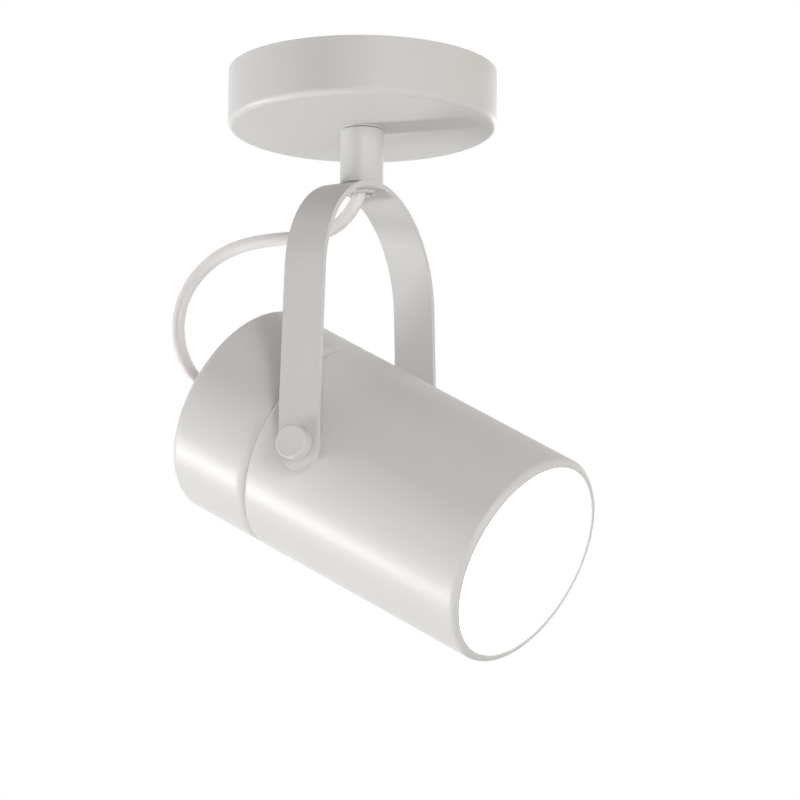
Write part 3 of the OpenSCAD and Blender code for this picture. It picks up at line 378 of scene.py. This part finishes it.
def headPieces(spec):
    r, seam, rear = spec["radius"], -spec["seam"], -spec["rear"]
    inner = r - spec["wall"]
    back = spec["mouth"] - spec["lipThick"]
    most = 0.98                     # a rounding stops just short of its outline's next corner
    reach = math.asin(spec["shoulderLength"] / spec["shoulder"])
    corner = spec["shoulder"] * math.tan(reach / 2)
    drop = spec["shoulder"] * (1 - math.cos(reach))
    edge = spec["tubeEdge"]         # its arc ends level with the shoulder behind the seam
    turn = math.acos(1 - drop / edge)
    edgeCorner = edge * math.tan(turn / 2)
    barrel = spunMesh("head_barrel", [
        (r, seam + edge * (math.sin(turn) - math.tan(turn / 2)), edgeCorner * most, 10),
        (r, spec["mouth"], spec["lipRound"], 12),
        (spec["lipOpening"], spec["mouth"], spec["lipInnerRound"], 4), (spec["lipOpening"], back),
        (inner, back), (inner, seam + spec["seamGap"]), (r - drop, seam + spec["seamGap"]),
    ], 192, headPlace)
    rim = seam - spec["shoulderLength"]
    spigot = inner - spec["seamGap"]
    spigotFront, spigotBack = seam + spec["spigotFront"], seam - spec["spigotBack"]
    shell = spunMesh("rear_shell", [
        (spec["bootHole"], rear, spec["bootHoleRound"], 3), (r, rear, spec["rearRound"], 14),
        (r, rim + corner, corner * most, 10), (r - drop, seam),
        (spigot, seam), (spigot, spigotFront), (spigot - spec["spigotWall"], spigotFront),
        (spigot - spec["spigotWall"], spigotBack), (inner, spigotBack),
        (inner, rear + spec["rearWall"]), (spec["bootHole"], rear + spec["rearWall"]),
    ], 192, headPlace)
    barrelPiece = evenNormals(newPiece("head_barrel", barrel, "head", ("head_tube",)))
    rearPiece = newPiece("rear_shell", shell, "head", ("rear_cap",))
    holes = []
    for angle in screw["angles"]:
        spot = headPlace @ Matrix.Rotation(math.radians(angle), 4, "Z") @ Matrix.Translation(
            (screw["circle"] * mm, 0, rear * mm))
        holes.append(spunMesh("cutter", [
            (0, -screw["overshoot"]), (screw["headRadius"] + screw["headGap"], -screw["overshoot"]),
            (screw["shank"], screw["headHeight"] + screw["overshoot"]),
            (screw["shank"], 2 * spec["rearWall"]), (0, 2 * spec["rearWall"]),
        ], 64, spot))
    cutAway(rearPiece, holes)
    rearPiece.data.set_sharp_from_angle(angle=math.radians(35))
    evenNormals(rearPiece)
    return barrelPiece, rearPiece


screw = {
    "angles": (0, 120, 240), "circle": 36, "shank": 1.55, "headRadius": 2.95, "headHeight": 1.6,
    "headGap": 0.45, "overshoot": 0.3,
}
headBarrel, rearShell = headPieces(head)

panel = {"rim": 46.1, "back": 92.5, "front": 95.5, "face": 44.2, "faceFront": 97, "faceRound": 0.4}
lightPanel = evenNormals(newPiece("opal_panel", spunMesh("opal_panel", [
    (0, panel["back"]), (panel["rim"], panel["back"]), (panel["rim"], panel["front"]),
    (panel["face"], panel["front"]), (panel["face"], panel["faceFront"], panel["faceRound"], 5),
    (0, panel["faceFront"]),
], 192, headPlace), "head", ("light_panel",)))

boot = {
    "tip": -88, "root": -70, "face": -68, "tipRadius": 3.9, "rootRadius": 5.2, "bore": 3.05,
    "flange": 7, "neck": 4, "inside": -65.5, "lock": 5.5, "lockHeight": 1.5,
    "tipInnerRound": 0.3, "tipRound": 0.4, "flangeRound": 0.6,
    "ribs": 6, "ribEnds": 1.5, "grooveDepth": 0.45, "grooveRound": 0.12,
    "groove": ((-0.22, 0), (-0.12, 1), (0.12, 1), (0.22, 0)),     # place in ribs, share of the depth
}


def bootPiece(spec):
    corners = [
        (spec["bore"], spec["tip"], spec["tipInnerRound"], 3),
        (spec["tipRadius"], spec["tip"], spec["tipRound"], 4),
    ]
    span = spec["root"] - spec["tip"]
    step = span / (spec["ribs"] + spec["ribEnds"])
    for i in range(spec["ribs"]):       # shallow grooves that let the tail bend
        at = spec["tip"] + (i + 1) * step
        for shift, depth in spec["groove"]:
            z = at + shift * step
            radius = spec["tipRadius"] + (spec["rootRadius"] - spec["tipRadius"]) * (z - spec["tip"]) / span
            corners.append((radius - depth * spec["grooveDepth"], z, spec["grooveRound"], 2))
    corners += [
        (spec["rootRadius"], spec["root"]), (spec["flange"], spec["root"], spec["flangeRound"], 5),
        (spec["flange"], spec["face"]), (spec["neck"], spec["face"]), (spec["neck"], spec["inside"]),
        (spec["lock"], spec["inside"]), (spec["lock"], spec["inside"] + spec["lockHeight"]),
        (spec["bore"], spec["inside"] + spec["lockHeight"]),
    ]
    mesh = spunMesh("flex_boot", corners, 64, headPlace)
    return evenNormals(newPiece("flex_boot", mesh, "head", ("cable_boot",)))


flexBoot = bootPiece(boot)


knob = {
    "radius": 7.4, "height": 6.3, "rim": 0.8, "footRound": 0.3, "foot": 54.238, "studRadius": 2.95,
    "dish": 0.12, "dishRadius": 6.2, "dishSlope": 0.5,
}


def knobPieces(spec):
    made = []
    for side, body, node in ((-1, "knob_near", "near_knob"), (1, "knob_far", "far_knob")):
        place = pivotPlace @ Matrix.Rotation(-side * math.pi / 2, 4, "X") @ Matrix.Translation(
            (0, 0, spec["foot"] * mm))
        top, middle = spec["height"], spec["height"] / 2
        mesh = spunMesh(node + "_cap", [
            (spec["studRadius"], 0), (spec["radius"], 0, spec["footRound"], 3),
            (spec["radius"], top, spec["rim"], 8), (spec["dishRadius"], top),
            (spec["dishRadius"] - spec["dishSlope"], top - spec["dish"]), (0, top - spec["dish"]),
            (0, middle), (spec["studRadius"], middle),
        ], 96, place)
        made.append(evenNormals(newPiece(node + "_cap", mesh, body, (node,))))
    return made


knobs = knobPieces(knob)


class Wire:
    def __init__(self, tree, socket=None):
        self.tree, self.socket = tree, socket

    def node(self, kind, settings=None, inputs=None, output=0):
        made = self.tree.nodes.new(kind)
        for key, value in (settings or {}).items():
            if key == "stops":
                stops = made.color_ramp.elements
                while len(stops) > 1:
                    stops.remove(stops[-1])
                for i, (at, colour) in enumerate(value):
                    stop = stops[0] if i == 0 else stops.new(at)
                    stop.position, stop.color = at, (*colour, 1)
            elif key == "interpolation":
                made.color_ramp.interpolation = value
            else:
                setattr(made, key, value)
        for key, value in (inputs or {}).items():
            if isinstance(value, Wire):
                self.tree.links.new(value.socket, made.inputs[key])
            else:
                made.inputs[key].default_value = value
        return Wire(self.tree, made.outputs[output])

    def maths(self, operation, first, second):
        return self.node("ShaderNodeMath", {"operation": operation}, {0: first, 1: second})

    def __add__(self, other):
        return self.maths("ADD", self, other)

    def __radd__(self, other):
        return self.maths("ADD", other, self)

    def __sub__(self, other):
        return self.maths("SUBTRACT", self, other)

    def __rsub__(self, other):
        return self.maths("SUBTRACT", other, self)

    def __mul__(self, other):
        return self.maths("MULTIPLY", self, other)

    def __rmul__(self, other):
        return self.maths("MULTIPLY", other, self)

    def above(self, level):
        return self.maths("GREATER_THAN", self, level)


def newMaterial(name, fixed):
    material = bpy.data.materials.new(name)
    material.use_nodes = True
    tree = material.node_tree
    tree.nodes.clear()
    output = tree.nodes.new("ShaderNodeOutputMaterial")
    shader = tree.nodes.new("ShaderNodeBsdfPrincipled")
    tree.links.new(shader.outputs[0], output.inputs[0])
    for key, value in fixed.items():
        shader.inputs[key].default_value = value
    return material, Wire(tree), shader


def feed(wire, shader, **links):
    for key, value in links.items():
        wire.tree.links.new(value.socket, shader.inputs[key.replace("_", " ")])


def objectPoint(wire):
    return wire.node("ShaderNodeTexCoord", output="Object")


def noise(wire, point, scale, detail=3, rough=0.55):
    return wire.node("ShaderNodeTexNoise", None,
                     {"Vector": point, "Scale": scale, "Detail": detail, "Roughness": rough})


def between(wire, factor, first, second):
    # a colour mix has its two colours at 6 and 7, and its result at 2
    return wire.node("ShaderNodeMix", {"data_type": "RGBA"},
                     {"Factor": factor, 6: (*first, 1), 7: (*second, 1)}, 2)


def bumped(wire, height, distance):
    return wire.node("ShaderNodeBump", None, {"Height": height, "Distance": distance, "Strength": 1.0})


print("spotlight: finishes")
finish = {
    "powder coat": {"colour": (0.60, 0.598, 0.590), "other": (0.585, 0.582, 0.572), "rough": 0.36,
                    "spread": 0.08, "grain": 2600, "depth": 0.000006, "cloud": 22},
    "flex sheath": {"colour": (0.74, 0.725, 0.72), "other": (0.71, 0.695, 0.69), "rough": 0.42,
                    "spread": 0.1, "grain": 900, "depth": 0.00001, "cloud": 30},
    "opal": {"colour": (0.9, 0.9, 0.88), "glow": (1.0, 1.0, 0.985), "otherGlow": (0.998, 0.998, 0.982),
             "rough": 0.22, "spread": 0.08, "cloud": 40},
    "zinc": {"colour": (0.60, 0.61, 0.63), "other": (0.50, 0.51, 0.50), "rough": 0.34, "spread": 0.16,
             "grain": 1500, "depth": 0.000008, "cloud": 120},
    "brass": {"colour": (0.76, 0.58, 0.27), "other": (0.66, 0.48, 0.20), "rough": 0.28, "spread": 0.14,
              "grain": 1800, "depth": 0.000006, "cloud": 160},
    "bare aluminium": {"colour": (0.82, 0.83, 0.84), "other": (0.74, 0.75, 0.76), "rough": 0.3,
                       "spread": 0.12, "grain": 1600, "depth": 0.000008, "cloud": 90},
    "nylon": {"colour": (0.80, 0.79, 0.73), "other": (0.76, 0.745, 0.68), "rough": 0.5, "spread": 0.1,
              "grain": 1400, "depth": 0.00001, "cloud": 140},
    "dark nylon": {"colour": (0.03, 0.03, 0.03), "other": (0.045, 0.044, 0.042), "rough": 0.6,
                   "spread": 0.1, "grain": 1400, "depth": 0.00001, "cloud": 140},
    "silicone": {"colour": (0.66, 0.655, 0.64), "other": (0.62, 0.612, 0.595), "rough": 0.62,
                 "spread": 0.1, "grain": 1100, "depth": 0.000015, "cloud": 60},
    "board lacquer": {"colour": (0.82, 0.83, 0.82), "other": (0.78, 0.80, 0.78), "rough": 0.32,
                      "spread": 0.1, "grain": 2200, "depth": 0.000005, "cloud": 200},
    "driver case": {"colour": (0.035, 0.036, 0.038), "other": (0.05, 0.051, 0.054), "rough": 0.55,
                    "spread": 0.12, "grain": 1600, "depth": 0.00003, "cloud": 80},
    "phosphor": {"colour": (0.90, 0.72, 0.25), "other": (0.86, 0.66, 0.2), "rough": 0.4,
                 "spread": 0.1, "grain": 3000, "depth": 0.00001, "cloud": 400},
    "cores": {"brown": (0.20, 0.09, 0.035), "green": (0.10, 0.42, 0.07), "blue": (0.05, 0.16, 0.55),
              "perMetre": 500},     # how fast the colour scale runs across Y
    "leads": {"red": (0.55, 0.03, 0.03), "black": (0.02, 0.02, 0.022)},
    "sheath": {"rough": 0.36, "spread": 0.1, "grain": 900, "depth": 0.00001},
}


skinCoarseness = 0.22       # scale of the skin against that of the grain


def coatedFinish(name, spec, **fixed):
    # colour drifts a little over the piece, with a fine skin in roughness and relief
    material, wire, shader = newMaterial(name, {"Base Color": (*spec["colour"], 1), **fixed})
    point = objectPoint(wire)
    cloud = noise(wire, point, spec["cloud"], 4)
    grain = noise(wire, point, spec["grain"], 3, 0.6)
    skin = noise(wire, point, spec["grain"] * skinCoarseness, 2)
    feed(wire, shader,
         Base_Color=between(wire, cloud, spec["colour"], spec["other"]),
         Roughness=spec["rough"] + (cloud - 0.5) * spec["spread"] + (skin - 0.5) * (spec["spread"] * 0.5),
         Normal=bumped(wire, grain * 0.5 + skin, spec["depth"]))
    return material


def litFinish(name, spec):
    material, wire, shader = newMaterial(name, {
        "Base Color": (*spec["colour"], 1), "Emission Strength": 1.0})
    skin = noise(wire, objectPoint(wire), spec["cloud"], 3)
    feed(wire, shader, Emission_Color=between(wire, skin, spec["glow"], spec["otherGlow"]),
         Roughness=spec["rough"] + skin * spec["spread"])
    return material


def coreColour(wire, across):
    # the cores lie side by side across Y: brown on one side, green in the middle, blue on the other
    spec = finish["cores"]
    stops = [(0, spec["brown"]), (0.02, spec["green"]), (0.98, spec["blue"])]
    return wire.node("ShaderNodeValToRGB", {"interpolation": "CONSTANT", "stops": stops},
                     {0: across * spec["perMetre"] + 0.5})


def leadColour(wire, across):
    return between(wire, across.above(0), finish["leads"]["red"], finish["leads"]["black"])


def sheathFinish(name, colourOf, spec):
    material, wire, shader = newMaterial(name, {})
    point = objectPoint(wire)
    across = wire.node("ShaderNodeSeparateXYZ", None, {0: point}, "Y")
    skin = noise(wire, point, spec["grain"], 2)
    feed(wire, shader, Base_Color=colourOf(wire, across), Roughness=spec["rough"] + skin * spec["spread"],
         Normal=bumped(wire, skin, spec["depth"]))
    return material


metal = {"Metallic": 1.0}
powderCoat = coatedFinish("powder coat", finish["powder coat"], **{"Specular IOR Level": 0.21})
flexSheath = coatedFinish("flex sheath", finish["flex sheath"])
zinc = coatedFinish("zinc", finish["zinc"], **metal)
brass = coatedFinish("brass", finish["brass"], **metal)
bareAluminium = coatedFinish("bare aluminium", finish["bare aluminium"], **metal)
nylon = coatedFinish("nylon", finish["nylon"])
darkNylon = coatedFinish("dark nylon", finish["dark nylon"])
silicone = coatedFinish("silicone", finish["silicone"])
boardLacquer = coatedFinish("board lacquer", finish["board lacquer"])
driverCase = coatedFinish("driver case", finish["driver case"])
phosphor = coatedFinish("phosphor", finish["phosphor"], **{
    "Emission Color": (1.0, 0.95, 0.82, 1), "Emission Strength": 0.7})
opal = litFinish("opal", finish["opal"])
coreSheaths = sheathFinish("core sheaths", coreColour, finish["sheath"])
leadSheaths = sheathFinish("lead sheaths", leadColour, finish["sheath"])

bySlot = {
    "white_paint": powderCoat, "white_aluminium": powderCoat, "zinc_steel": zinc, "brass": brass,
    "nylon": nylon, "dark_nylon": darkNylon, "white_flex": flexSheath, "core_insulation": coreSheaths,
    "opal_lit": opal, "silicone": silicone, "aluminium": bareAluminium, "board_white": boardLacquer,
    "led_lit": phosphor, "driver_case": driverCase,
}
slotOf = {s["node"]: s["material_slot"] for s in frame["record"]["subparts"]}


def dress(piece, material):
    piece.data.materials.clear()
    piece.data.materials.append(material)


for node, thing in cadNodes.items():
    dress(thing, leadSheaths if node == "led_leads" else bySlot[slotOf[node]])
for thing in canopyParts + knobs + [yokeStrap, cableBush, headBarrel, rearShell]:
    dress(thing, powderCoat)
dress(flexCable, flexSheath)
dress(flexBoot, silicone)
dress(lightPanel, opal)


print("spotlight: light")
studio = {
    "floorDepth": -1.25,
    "floorSize": 8,
    "floorColour": (0.86, 0.86, 0.86),
    "floorRough": 0.9,
    "floorWhite": 0.85,
    "aim": (0, 0, -0.14),       # all lamps point at it
    # the sky's red, green and blue level, each with its rise towards +X and +Y
    "sky": ((0.455, 0.05, 0.39), (0.438, 0.018, 0.41), (0.421, -0.01, 0.395)),
    "beam": (0.866, 0, -0.5),   # the way the head points
    "lamps": {
        "front": {"at": (1.463, -2.487, -0.433), "size": (1.4, 1.4), "power": 18},
        "right front": {"at": (1.504, -1.303, 0.061), "size": (0.4, 0.4), "power": 9.6},
        "right low": {"at": (1.697, -0.898, -0.699), "size": (0.5, 0.5), "power": 5.6},
        "top left": {"at": (-1.204, -0.401, 1.406), "size": (1.2, 1.2), "power": 7.4},
        "back": {"at": (0, 1.990, 0.059), "size": (0.8, 0.8), "power": 8.4},
        "strip": {"at": (-1.713, -0.496, -1.045), "size": (0.16, 1.2), "power": 43.5, "along": True},
    },
}


def whiteToCamera(wire, colour):
    # the given light, but plain white where the camera, gloss or glass sees it
    paths = wire.tree.nodes.new("ShaderNodeLightPath")
    seen = [Wire(wire.tree, paths.outputs[k]) for k in
            ("Is Camera Ray", "Is Glossy Ray", "Is Transmission Ray")]
    white = wire.maths("MINIMUM", seen[0] + seen[1] + seen[2], 1.0)
    return wire.node("ShaderNodeMix", {"data_type": "RGBA"},
                     {"Factor": white, 6: colour, 7: (1, 1, 1, 1)}, 2)


def skyColour(wire, levels):
    towards = wire.node("ShaderNodeTexCoord", output="Generated")
    x, y = (wire.node("ShaderNodeSeparateXYZ", None, {0: towards}, k) for k in ("X", "Y"))
    return wire.node("ShaderNodeCombineColor", None, {
        k: level + x * alongX + y * alongY
        for k, (level, alongX, alongY) in enumerate(levels)})


def floorFinish(spec):
    # part of the floor shows as plain white to the camera, the rest keeps the shadow
    material, wire, shader = newMaterial("floor", {
        "Base Color": (*spec["floorColour"], 1), "Roughness": spec["floorRough"]})
    glow = wire.node("ShaderNodeEmission")
    seen = wire.node("ShaderNodeLightPath", output="Is Camera Ray") * spec["floorWhite"]
    mixed = wire.node("ShaderNodeMixShader", None, {
        0: seen, 1: Wire(wire.tree, shader.outputs[0]), 2: glow})
    wire.tree.links.new(mixed.socket, wire.tree.nodes["Material Output"].inputs[0])
    return material


def makeSky(spec):
    world = bpy.data.worlds.new("studio")
    world.use_nodes = True
    wire = Wire(world.node_tree)
    sky = world.node_tree.nodes["Background"].inputs
    wire.tree.links.new(whiteToCamera(wire, skyColour(wire, spec["sky"])).socket, sky["Color"])
    sky["Strength"].default_value = 1.0
    scene.world = world


def layFloor(spec):
    bm = bmesh.new()
    bmesh.ops.create_grid(bm, x_segments=2, y_segments=2, size=spec["floorSize"] / 2)
    bmesh.ops.translate(bm, verts=bm.verts, vec=(0, 0, spec["floorDepth"]))
    floor = newPiece("floor", meshFrom(bm, "floor"), None)
    dress(floor, floorFinish(spec))


def placeLamp(name, lamp, spec):
    light = bpy.data.lights.new(name, "AREA")
    light.shape, light.size, light.size_y = "RECTANGLE", *lamp["size"]
    light.energy = lamp["power"]
    stand = bpy.data.objects.new(name, light)
    back = (Vector(lamp["at"]) - Vector(spec["aim"])).normalized()
    turn = back.to_track_quat("Z", "Y").to_matrix()
    if lamp.get("along"):       # its long side lies along the barrel
        beam = Vector(spec["beam"])
        long = (beam - back * beam.dot(back)).normalized()
        turn = Matrix((long.cross(back), long, back)).transposed()
    stand.matrix_world = Matrix.Translation(lamp["at"]) @ turn.to_4x4()
    scene.collection.objects.link(stand)


makeSky(studio)
layFloor(studio)
for name, lamp in studio["lamps"].items():
    placeLamp(name, lamp, studio)
scene.view_settings.view_transform = "Standard"
